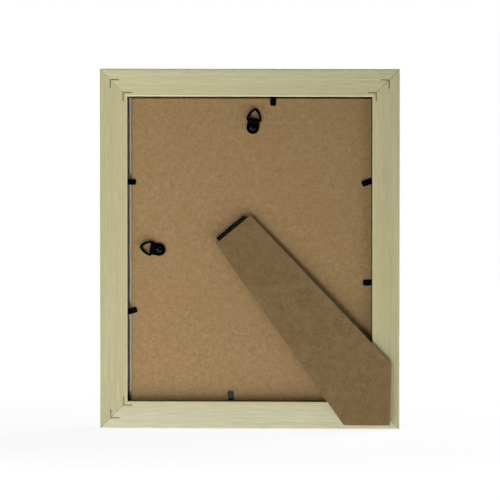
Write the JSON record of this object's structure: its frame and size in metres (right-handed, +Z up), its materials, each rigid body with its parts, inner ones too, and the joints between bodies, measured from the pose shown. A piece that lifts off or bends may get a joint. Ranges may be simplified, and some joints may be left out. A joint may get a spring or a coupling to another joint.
{
  "type": "picture frame",
  "caption": "Wooden picture frame with glass, a fibreboard back held in by bent steel tabs, a slanted easel leg that swings out, and triangle-ring hangers on the back.",
  "frame": {"origin": "middle of the bottom edge, halfway through the frame's depth", "axes": "+Z up in portrait, -Y towards the viewer of the picture, +Y out of the back, +X to the left as seen from behind"},
  "size_m": [0.2522, 0.0223, 0.303],
  "materials": {
    "rail_wood": "bare pale wood behind, pale lacquer on the front and sides",
    "nail_steel": "dull",
    "glass": "clear, polished",
    "paper": "matt white",
    "board": "raw fibreboard",
    "leg_board": "raw dark fibreboard",
    "tab_steel": "blued black",
    "black_steel": "satin black"
  },
  "bodies": {
    "frame": {"top_rail": "rail_wood", "bottom_rail": "rail_wood", "left_rail": "rail_wood", "right_rail": "rail_wood", "v_nail_top_left_outer": "nail_steel", "v_nail_top_left_inner": "nail_steel", "v_nail_top_right_outer": "nail_steel", "v_nail_top_right_inner": "nail_steel", "v_nail_bottom_left_outer": "nail_steel", "v_nail_bottom_left_inner": "nail_steel", "v_nail_bottom_right_outer": "nail_steel", "v_nail_bottom_right_inner": "nail_steel", "glass_pane": "glass", "picture_sheet": "paper", "backing_board": "board", "tab_tang_top": "tab_steel", "tab_tang_bottom": "tab_steel", "tab_tang_left_1": "tab_steel", "tab_tang_left_2": "tab_steel", "tab_tang_right_1": "tab_steel", "tab_tang_right_2": "tab_steel", "hinge_board_leaf": "black_steel", "hinge_pin": "black_steel", "board_leaf_rivet_1": "black_steel", "board_leaf_rivet_2": "black_steel", "portrait_hanger_rivet": "black_steel", "landscape_hanger_rivet": "black_steel"},
    "leg": {"easel_leg": "leg_board", "hinge_leg_leaf": "black_steel", "leg_leaf_rivet_1": "black_steel", "leg_leaf_rivet_2": "black_steel"},
    "portrait_strap": {"portrait_hanger_strap": "black_steel"},
    "portrait_ring": {"portrait_hanger_ring": "black_steel"},
    "landscape_strap": {"landscape_hanger_strap": "black_steel"},
    "landscape_ring": {"landscape_hanger_ring": "black_steel"},
    "top_tab": {"tab_tongue_top": "tab_steel"},
    "bottom_tab": {"tab_tongue_bottom": "tab_steel"},
    "left_tab_1": {"tab_tongue_left_1": "tab_steel"},
    "left_tab_2": {"tab_tongue_left_2": "tab_steel"},
    "right_tab_1": {"tab_tongue_right_1": "tab_steel"},
    "right_tab_2": {"tab_tongue_right_2": "tab_steel"}
  },
  "joints": [
    {"name": "leg_hinge", "type": "hinge", "parent": "frame", "child": "leg", "pos_m": [0.016, 0.0061, 0.1689], "axis": [0.7716, 0, -0.6361], "range_deg": [0, 35]},
    {"name": "portrait_strap_swivel", "type": "hinge", "parent": "frame", "child": "portrait_strap", "pos_m": [-0.0025, 0.0044, 0.2535], "axis": [0, 1, 0], "continuous": true},
    {"name": "portrait_ring_swing", "type": "hinge", "parent": "portrait_strap", "child": "portrait_ring", "pos_m": [-0.00339, 0.0062, 0.25984], "axis": [-0.9903, 0, -0.1392], "range_deg": [0, 150]},
    {"name": "landscape_strap_swivel", "type": "hinge", "parent": "frame", "child": "landscape_strap", "pos_m": [0.0763, 0.0044, 0.1508], "axis": [0, 1, 0], "continuous": true},
    {"name": "landscape_ring_swing", "type": "hinge", "parent": "landscape_strap", "child": "landscape_ring", "pos_m": [0.08262, 0.0062, 0.1518], "axis": [-0.1564, 0, 0.9877], "range_deg": [0, 150]},
    {"name": "top_tab_bend", "type": "hinge", "parent": "frame", "child": "top_tab", "pos_m": [-0.0196, 0.005, 0.2784], "axis": [1, 0, 0], "range_deg": [0, 85]},
    {"name": "bottom_tab_bend", "type": "hinge", "parent": "frame", "child": "bottom_tab", "pos_m": [0.01608, 0.005, 0.0246], "axis": [-0.9986, 0, 0.0523], "range_deg": [0, 85]},
    {"name": "left_tab_1_bend", "type": "hinge", "parent": "frame", "child": "left_tab_1", "pos_m": [0.1015, 0.005, 0.2078], "axis": [0, 0, -1], "range_deg": [0, 85]},
    {"name": "left_tab_2_bend", "type": "hinge", "parent": "frame", "child": "left_tab_2", "pos_m": [0.10156, 0.005, 0.09861], "axis": [-0.2588, 0, -0.9659], "range_deg": [0, 85]},
    {"name": "right_tab_1_bend", "type": "hinge", "parent": "frame", "child": "right_tab_1", "pos_m": [-0.1016, 0.005, 0.20885], "axis": [0.342, 0, 0.9397], "range_deg": [0, 85]},
    {"name": "right_tab_2_bend", "type": "hinge", "parent": "frame", "child": "right_tab_2", "pos_m": [-0.1015, 0.005, 0.1234], "axis": [0, 0, 1], "range_deg": [0, 85]}
  ]
}
